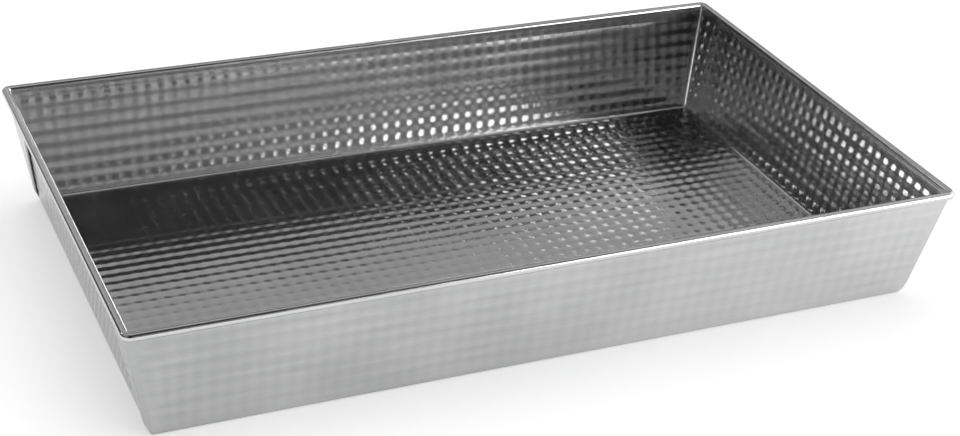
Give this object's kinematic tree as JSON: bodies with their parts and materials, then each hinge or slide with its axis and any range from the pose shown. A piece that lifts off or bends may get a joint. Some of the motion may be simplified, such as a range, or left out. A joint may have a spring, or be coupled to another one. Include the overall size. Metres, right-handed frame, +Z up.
{
  "type": "rectangular cake pan",
  "caption": "Shallow rectangular baking pan folded from one embossed steel sheet, with leaning walls, dog-ear corners and a rim rolled over a wire.",
  "frame": {"origin": "on the table, under the middle of the base", "axes": "+X along the long side of the pan, +Y towards the back long wall, +Z up out of the mouth"},
  "size_m": [0.3466, 0.2146, 0.0513],
  "materials": {
    "tinned_sheet": "bright embossed tinplate, softly polished",
    "drawn_wire": "plain drawn wire"
  },
  "bodies": {
    "root": {"pan_body": "tinned_sheet", "rim_wire": "drawn_wire"}
  },
  "joints": []
}
